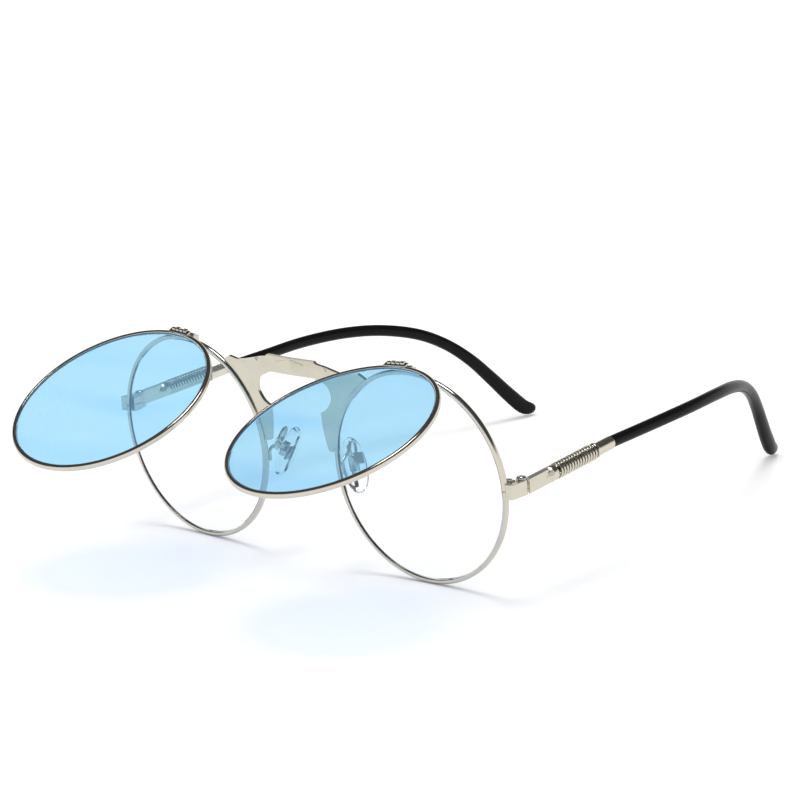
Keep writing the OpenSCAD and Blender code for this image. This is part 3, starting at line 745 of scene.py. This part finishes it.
def swept_tube(route, halves, sides, level=RIGHTWARD):
    """A closed tube swept along a route. Its width lies along level as nearly as it can."""
    rings = stations(route, halves, level)
    bm = bmesh.new()
    corners = bmesh.ops.create_circle(bm, segments=sides, radius=1.0)["verts"]
    edges = list(bm.edges)
    bmesh.ops.transform(bm, matrix=rings[0], verts=corners)
    for last, now in zip(rings, rings[1:]):
        grown = bmesh.ops.extrude_edge_only(bm, edges=edges)["geom"]
        corners = {part for part in grown if isinstance(part, bmesh.types.BMVert)}
        edges = [
            part for part in grown
            if isinstance(part, bmesh.types.BMEdge) and corners.issuperset(part.verts)
        ]
        bmesh.ops.transform(bm, matrix=now @ last.inverted(), verts=list(corners))
    bmesh.ops.holes_fill(bm, edges=[edge for edge in bm.edges if edge.is_boundary])
    return bm


def turned_profile(points, seat, closed=False, corners=(), start=0.0, turn=math.tau):
    """Spins a profile of (radius, depth) points round a seat's Y axis, some corners rounded."""
    bm = bmesh.new()
    verts = [bm.verts.new((radius, depth, 0)) for radius, depth in points]
    if closed:
        bm.faces.new(verts)
    else:
        for one, other in zip(verts, verts[1:]):
            bm.edges.new((one, other))
    for width, chosen in corners:
        bmesh.ops.bevel(
            bm, geom=[verts[i] for i in chosen], offset=width, offset_type="OFFSET",
            affect="VERTICES", segments=RING_CORNER_STEPS, profile=0.5, material=-1)
    bmesh.ops.delete(bm, geom=list(bm.faces), context="FACES_ONLY")
    bmesh.ops.rotate(bm, cent=(0, 0, 0), matrix=Matrix.Rotation(start, 3, "Y"), verts=bm.verts)
    bmesh.ops.spin(
        bm, geom=[*bm.verts, *bm.edges], cent=(0, 0, 0), axis=(0, 1, 0), dvec=(0, 0, 0),
        angle=turn, steps=RING_STEPS, use_merge=math.isclose(turn, math.tau), use_duplicate=False)
    bmesh.ops.remove_doubles(bm, verts=bm.verts, dist=MERGE_DISTANCE)
    bmesh.ops.holes_fill(bm, edges=[edge for edge in bm.edges if edge.is_boundary])
    bmesh.ops.transform(bm, matrix=seat, verts=bm.verts)
    return bm


def wire_ring(node, seat, start=0.0, turn=math.tau):
    """The grooved wire of a ring, with rounded corners."""
    inner, outer, front, back = reach(node, seat)
    middle = (front + back) / 2
    wire = sizes("metal")
    chamfer, crown, lip, groove = (
        wire.wire_chamfer, wire.wire_crown, wire.wire_lip, wire.groove_depth)
    groove_half = groove + wire.groove_slack
    points = [
        (inner + lip, front), (outer - chamfer, front), (outer - crown, front + chamfer),
        (outer, middle), (outer - crown, back - chamfer), (outer - chamfer, back),
        (inner + lip, back), (inner, back - lip), (inner, middle + groove_half),
        (inner + groove, middle), (inner, middle - groove_half), (inner, front + lip),
    ]
    outside, inside = (1, 2, 3, 4, 5), (0, 6, 7, 11)
    corners = [(wire.wire_corner, outside), (wire.groove_corner, inside)]
    return turned_profile(points, seat, True, corners, start, turn)


def lens(node, seat):
    """A thin lens with a slight curve and a bevelled edge."""
    _, outer, front, back = reach(node, seat)
    lens_sizes = sizes("lens")
    curve, half_land = lens_sizes.base_curve, lens_sizes.land / 2
    face = outer - lens_sizes.bevel
    rings = [(face * share, curve * (1 - share * share)) for share in LENS_RINGS]
    front_face = [(radius, front - rise) for radius, rise in rings]
    back_face = [(radius, back - rise) for radius, rise in rings]
    middle = (front + back) / 2
    edge = [(outer, middle - half_land), (outer, middle + half_land)]
    return turned_profile([*front_face, *edge, *reversed(back_face)], seat)


def tip_route(side, steps):
    """The middle line of a tip, from its sleeve to its rounded end."""
    tip = sizes("tip")
    origin, along = temple_line(side)
    sleeve_end = span(side + "_temple_sleeve", origin, along)[1]
    first = origin + along * (sleeve_end + tip.sleeve_gap)
    start = first + along * tip.straight
    bend_y = temple_hinge(side).y + tip.length - tip.bend_run
    crest = tip.left_crest if side == "left" else tip.right_crest
    run, climb, drop = bend_y - start.y, crest - start.z, crest - tip.end_height
    points = [start]
    for bow, back, height in RISE_SHAPE:
        points.append(start + Vector((OUTWARD[side] * bow, back * run, height * climb)))
    for inset, back, height in BEND_SHAPE:
        points.append(Vector((
            origin.x - OUTWARD[side] * inset * tip.inset,
            bend_y + back * tip.bend_run,
            tip.end_height + height * drop,
        )))
    return [first, *curve_through(points, steps)]


def eased(start, middle, end, share):
    """A size that goes smoothly from start through middle to end."""
    if share < 0.5:
        low, high, local = start, middle, share * 2
    else:
        low, high, local = middle, end, share * 2 - 1
    return low + (high - low) * local * local * (3 - 2 * local)


class GLASSES_OT_eyewires(bpy.types.Operator):
    """Makes the grooved wires that hold the clear lenses"""

    bl_idname = "glasses.eyewires"
    bl_label = "Eyewires"

    def execute(self, context):
        for side in SIDES:
            node = side + "_eyewire"
            seat = disc_seat(side + "_clear_lens")
            outer = reach(node, seat)[1]
            split = math.asin((temple_hinge(side).z - seat.translation.z) / outer)
            start = -split if side == "left" else math.pi + split
            gap = sizes("metal").split_gap / outer
            bm = wire_ring(node, seat, start + gap / 2, math.tau - gap)
            add_piece(bm, node, "silver_wire")
        return {"FINISHED"}


class GLASSES_OT_clear_lenses(bpy.types.Operator):
    """Makes the clear lenses"""

    bl_idname = "glasses.clear_lenses"
    bl_label = "Clear lenses"

    def execute(self, context):
        for side in SIDES:
            node = side + "_clear_lens"
            add_piece(lens(node, disc_seat(node)), node, "clear_lens")
        return {"FINISHED"}


class GLASSES_OT_bridge_plate(bpy.types.Operator):
    """Makes the flat plate between the eyewires"""

    bl_idname = "glasses.bridge_plate"
    bl_label = "Bridge plate"

    def execute(self, context):
        rounded_copy("bridge_plate", "champagne_plate", sizes("metal").plate_edge)
        return {"FINISHED"}


class GLASSES_OT_end_pieces(bpy.types.Operator):
    """Makes the end pieces with the closing blocks and the screws"""

    bl_idname = "glasses.end_pieces"
    bl_label = "End pieces"

    def execute(self, context):
        metal_sizes = sizes("metal")
        for side in SIDES:
            rounded_copy(side + "_end_piece", "champagne_plate", metal_sizes.lug_edge)
            for block in ("_closing_block_upper", "_closing_block_lower"):
                rounded_copy(side + block, "silver_wire", metal_sizes.fine_edge)
            for screw in ("_closing_screw", "_hinge_screw"):
                rounded_copy(side + screw, "screw_steel", metal_sizes.fine_edge)
        return {"FINISHED"}


class GLASSES_OT_temple_bars(bpy.types.Operator):
    """Makes the flat temple bars and the sleeves"""

    bl_idname = "glasses.temple_bars"
    bl_label = "Temple bars"

    def execute(self, context):
        for side in SIDES:
            for part in ("_temple_bar", "_temple_sleeve"):
                rounded_copy(side + part, "champagne_plate", sizes("metal").lug_edge)
        return {"FINISHED"}


class GLASSES_OT_temple_springs(bpy.types.Operator):
    """Winds the temple springs round their core wires"""

    bl_idname = "glasses.temple_springs"
    bl_label = "Temple springs"

    def execute(self, context):
        for side in SIDES:
            self.spring(side)
            self.core(side)
        return {"FINISHED"}

    def spring(self, side):
        """A wound wire as wide as its CAD solid, with its ends laid against collar and sleeve."""
        node = side + "_temple_spring"
        origin, along = temple_line(side)
        start, end = span(node, origin, along)
        wire, turns = sizes("metal").spring_wire, sizes("metal").spring_turns
        across = along.cross(UP).normalized()
        over = across.cross(along)
        points = cad_points(node) - np.array(origin)
        off_line = points - np.outer(points @ np.array(along), np.array(along))
        radius = np.linalg.norm(off_line, axis=1).max() - wire / 2 - SPRING_SKIN
        pitch = (end - start - 2 * wire) / turns
        route = [origin + along * start + over * radius]
        for i in range(SPRING_STEPS * turns + 1):
            turn = i / SPRING_STEPS
            angle = math.tau * turn
            turned = over * math.cos(angle) - across * math.sin(angle) * OUTWARD[side]
            route.append(origin + along * (start + wire + pitch * turn) + turned * radius)
        route.append(origin + along * end + over * radius)
        halves = [(wire / 2, wire / 2)] * len(route)
        bm = swept_tube(route, halves, SPRING_SIDES, along)
        add_piece(bm, node, "spring_steel", ROUND_SHARP_ANGLE)

    def core(self, side):
        """The wire from the temple bar's collar through spring and sleeve into the tip."""
        node = side + "_temple_core"
        origin, along = temple_line(side)
        start = origin + along * span(node, origin, along)[0]
        route = [start, *tip_route(side, CORE_STEPS)[:CORE_POINTS]]
        half = sizes("metal").core_wire / 2
        bm = swept_tube(route, [(half, half)] * len(route), CORE_SIDES)
        add_piece(bm, node, "core_steel")


class GLASSES_OT_temple_tips(bpy.types.Operator):
    """Makes the black tips over the core wires"""

    bl_idname = "glasses.temple_tips"
    bl_label = "Temple tips"

    def execute(self, context):
        tip = sizes("tip")
        for side in SIDES:
            route = tip_route(side, TIP_STEPS)
            last = len(route) - 1
            halves = []
            for i in range(len(route)):
                height = eased(tip.start_d, tip.bend_d, tip.end_w, i / last)
                width = eased(tip.start_d, tip.bend_w, tip.end_t, i / last)
                left = min((last - i) / TIP_END_STEPS, 1)
                share = max(math.sqrt(1 - (1 - left) ** 2), TIP_END_SHARE)
                halves.append((share * height / 2, share * width / 2))
            add_piece(swept_tube(route, halves, TIP_SIDES), side + "_temple_tip", "black_tip")
        return {"FINISHED"}


class GLASSES_OT_nose_pads(bpy.types.Operator):
    """Makes the soft nose pads with their cores, boxes, screws and arms"""

    bl_idname = "glasses.nose_pads"
    bl_label = "Nose pads"

    def execute(self, context):
        pad = sizes("pad")
        for side in SIDES:
            self.pad(side)
            rounded_copy(side + "_pad_core", "clear_core", pad.core_edge, segments=3)
            rounded_copy(side + "_pad_box", "silver_wire", pad.box_edge, segments=3)
            rounded_copy(side + "_pad_screw", "screw_steel", sizes("metal").fine_edge)
            self.arm(side)
        return {"FINISHED"}

    def pad(self, side):
        """An oval plate, well rounded towards the nose and with a low crown there."""
        node = side + "_nose_pad"
        points = cad_points(node)
        middle, axes = main_axes(points)
        away = facing(axes[2], Vector((OUTWARD[side], 0, 0)))
        tall = facing(axes[0], UP)
        across = tall.cross(away)
        turn = Matrix((away, across, tall)).transposed()
        local = (points - middle) @ np.array(turn)
        low, high = local.min(axis=0), local.max(axis=0)
        seat = placed(away, across, tall, Vector(middle) + turn @ Vector((low + high) / 2))
        half = Vector((high - low) / 2)
        pad = sizes("pad")
        bm = bmesh.new()
        bmesh.ops.create_circle(bm, cap_ends=True, segments=PAD_STEPS, radius=1.0)
        quarter = Matrix.Rotation(math.pi / 2, 3, "Y")
        bmesh.ops.rotate(bm, cent=(0, 0, 0), matrix=quarter, verts=bm.verts)
        bmesh.ops.scale(bm, vec=(1, half.y, half.z), verts=bm.verts)
        bmesh.ops.translate(bm, vec=(half.x, 0, 0), verts=bm.verts)
        grown = bmesh.ops.extrude_face_region(bm, geom=list(bm.faces))["geom"]
        corners = [part for part in grown if isinstance(part, bmesh.types.BMVert)]
        bmesh.ops.translate(bm, vec=(-2 * pad.plate * half.x, 0, 0), verts=corners)
        bmesh.ops.recalc_face_normals(bm, faces=bm.faces)
        rim = [edge for edge in bm.edges if edge.calc_face_angle(0) > ROUND_SHARP_ANGLE]
        skin_side = [edge for edge in rim if edge.verts[0].co.x < 0]
        back_side = [edge for edge in rim if edge.verts[0].co.x > 0]
        for edges, rounding in ((skin_side, pad.skin_rounding), (back_side, pad.back_rounding)):
            bmesh.ops.bevel(
                bm, geom=edges, offset=rounding * half.x, offset_type="OFFSET", affect="EDGES",
                segments=PAD_CORNER_STEPS, profile=0.5, material=-1)
        for rise in PAD_CROWN:
            cap = min(bm.faces, key=lambda face: face.calc_center_median().x)
            bmesh.ops.inset_individual(
                bm, faces=[cap], thickness=PAD_CROWN_STEP * half.y, depth=rise * half.x,
                use_even_offset=False)
        bmesh.ops.transform(bm, matrix=seat, verts=bm.verts)
        add_piece(bm, node, "pad_silicone", ROUND_SHARP_ANGLE)

    def arm(self, side):
        """The bent wire, with the facets of its CAD solid smoothed away."""
        node = side + "_pad_arm"
        piece = add_piece(cad_mesh(node), node, "silver_wire", ROUND_SHARP_ANGLE)
        smooth = piece.modifiers.new("Round", "SUBSURF")
        smooth.levels = smooth.render_levels = 2


class GLASSES_OT_flip_hinges(bpy.types.Operator):
    """Makes the hinges of the flip-up lenses"""

    bl_idname = "glasses.flip_hinges"
    bl_label = "Flip-up hinges"

    def execute(self, context):
        fine = sizes("metal").fine_edge
        for side in SIDES:
            rounded_copy(side + "_flip_base", "silver_wire", fine)
            rounded_copy(side + "_flip_leaf", "silver_wire", fine)
            rounded_copy(side + "_flip_pin", "screw_steel", fine / 2)
        return {"FINISHED"}


class GLASSES_OT_flip_lenses(bpy.types.Operator):
    """Makes the flip-up rings and their tinted lenses"""

    bl_idname = "glasses.flip_lenses"
    bl_label = "Flip-up lenses"

    def execute(self, context):
        for side in SIDES:
            ring_node, lens_node = side + "_flip_ring", side + "_tinted_lens"
            seat = disc_seat(lens_node)
            add_piece(wire_ring(ring_node, seat), ring_node, "silver_wire")
            add_piece(lens(lens_node, seat), lens_node, "tinted_lens")
        return {"FINISHED"}


class GLASSES_OT_stage(bpy.types.Operator):
    """Makes the floor, the light and the camera"""

    bl_idname = "glasses.stage"
    bl_label = "Stage"

    def execute(self, context):
        context.scene.view_settings.view_transform = "Standard"
        context.scene.cycles.caustics_reflective = False
        context.scene.cycles.caustics_refractive = False
        self.floor(context)
        self.studio(context)
        self.lamp(context)
        self.camera(context)
        return {"FINISHED"}

    def floor(self, context):
        """A white floor that glows a little where it is looked at, straight or through glass."""
        bm = bmesh.new()
        bmesh.ops.create_grid(bm, x_segments=1, y_segments=1, size=FLOOR_HALF)
        mesh = bpy.data.meshes.new("floor")
        bm.to_mesh(mesh)
        bm.free()
        floor = bpy.data.objects.new("floor", mesh)
        context.scene.collection.objects.link(floor)
        material, sheet = new_material("white_floor")
        grain = sheet.noise(40, 2)
        seen = sheet.ray("Is Camera Ray").either(sheet.ray("Is Transmission Ray"))
        sheet.output(sheet.node("BsdfPrincipled", None, {
            "Base Color": sheet.mix(grain, (1.0, 1.0, 1.0), (0.995, 0.995, 0.995)),
            "Roughness": 1.0,
            "Specular IOR Level": 0.0,
            "Emission Color": sheet.mix(seen, (0, 0, 0), (1, 1, 1)),
            "Emission Strength": FLOOR_GLOW,
        }))
        mesh.materials.append(material)

    def studio(self, context):
        """White where it is seen, a little darker as light, and with a dark roof in reflections."""
        world = bpy.data.worlds.new("studio")
        context.scene.world = world
        world.use_nodes = True
        sheet = Sheet(world.node_tree)
        direction = sheet.node("TexCoord").outputs["Generated"]
        height = Channel(sheet, sheet.node("SeparateXYZ", None, {0: direction}).outputs[2])
        values = {0: direction, 1: STREAK_AXIS}
        across = sheet.node("VectorMath", {"operation": "DOT_PRODUCT"}, values).outputs["Value"]
        place = Channel(sheet, across) * STREAK_SCALE + STREAK_SHIFT
        values = {"W": place, "Scale": 1.0, "Detail": 1.0}
        lines = sheet.node("TexNoise", {"noise_dimensions": "1D"}, values).outputs["Fac"]
        streaks = Channel(sheet, lines).ramp(*STREAK_LEVELS)
        roof = height.ramp(*ROOF_HEIGHTS)
        reflected = 1 - roof * (ROOF_DARKNESS - streaks * STREAK_SHINE)
        mirrored = sheet.ray("Glossy Depth").any()
        diffuse = sheet.ray("Diffuse Depth").any()
        clear = (1 - mirrored) * (1 - diffuse)
        level = clear + (1 - diffuse) * mirrored * reflected + diffuse * sizes("view").fill
        background = sheet.node("Background", None, {"Color": (1, 1, 1), "Strength": level})
        sheet.node("OutputWorld", None, {"Surface": background.outputs[0]})

    def lamp(self, context):
        """A round soft lamp nearly overhead, as wide as the photographed shadows say."""
        toward = Vector(LAMP_DIRECTION).normalized()
        data = bpy.data.lights.new("key", "SUN")
        data.angle = sizes("view").key_angle
        data.energy = sizes("view").key * math.pi
        lamp = bpy.data.objects.new("key", data)
        lamp.location = toward
        lamp.rotation_mode = "QUATERNION"
        lamp.rotation_quaternion = toward.to_track_quat("Z", "Y")
        context.scene.collection.objects.link(lamp)

    def camera(self, context):
        """The photograph's view."""
        view = sizes("view")
        forward = Vector((
            -math.sin(view.azimuth) * math.cos(view.elevation),
            math.cos(view.azimuth) * math.cos(view.elevation),
            -math.sin(view.elevation),
        ))
        level = Vector((math.cos(view.azimuth), math.sin(view.azimuth), 0))
        over = level.cross(forward)
        right = level * math.cos(view.roll) + over * math.sin(view.roll)
        up = over * math.cos(view.roll) - level * math.sin(view.roll)
        target = Vector(view.target) + BACK * temple_hinge("left").y
        data = bpy.data.cameras.new("camera")
        data.lens, data.sensor_width = view.focal_length, SENSOR_WIDTH
        data.clip_start, data.clip_end = CLIP_NEAR, CLIP_FAR
        camera = bpy.data.objects.new("camera", data)
        camera.matrix_world = placed(right, up, -forward, target - forward * view.distance)
        context.scene.collection.objects.link(camera)
        context.scene.camera = camera


class GLASSES_PT_panel(bpy.types.Panel):
    """Lists the pieces of the glasses"""

    bl_idname = "GLASSES_PT_panel"
    bl_label = "Flip up glasses"
    bl_space_type = "VIEW_3D"
    bl_region_type = "UI"
    bl_category = "Glasses"

    def draw(self, context):
        for group in GROUPS:
            column = self.layout.column()
            for name in GROUPS[group].__annotations__:
                column.prop(sizes(group), name)
        for operator in OPERATORS:
            self.layout.operator(operator.bl_idname)


GROUPS = {
    "metal": MetalSizes,
    "lens": LensSizes,
    "tip": TipSizes,
    "pad": PadSizes,
    "finish": Finishes,
    "view": ViewSizes,
}
OPERATORS = (
    GLASSES_OT_eyewires,
    GLASSES_OT_clear_lenses,
    GLASSES_OT_bridge_plate,
    GLASSES_OT_end_pieces,
    GLASSES_OT_temple_bars,
    GLASSES_OT_temple_springs,
    GLASSES_OT_temple_tips,
    GLASSES_OT_nose_pads,
    GLASSES_OT_flip_hinges,
    GLASSES_OT_flip_lenses,
    GLASSES_OT_stage,
)


def register():
    for cls in (*GROUPS.values(), *OPERATORS, GLASSES_PT_panel):
        bpy.utils.register_class(cls)
    for name, group in GROUPS.items():
        setattr(bpy.types.Scene, "glasses_" + name, PointerProperty(type=group))


def unregister():
    for name in GROUPS:
        delattr(bpy.types.Scene, "glasses_" + name)
    for cls in (GLASSES_PT_panel, *reversed(OPERATORS), *GROUPS.values()):
        bpy.utils.unregister_class(cls)


def main():
    register()
    for operator in OPERATORS:
        group, name = operator.bl_idname.split(".")
        getattr(getattr(bpy.ops, group), name)()


if __name__ == "__main__":
    main()
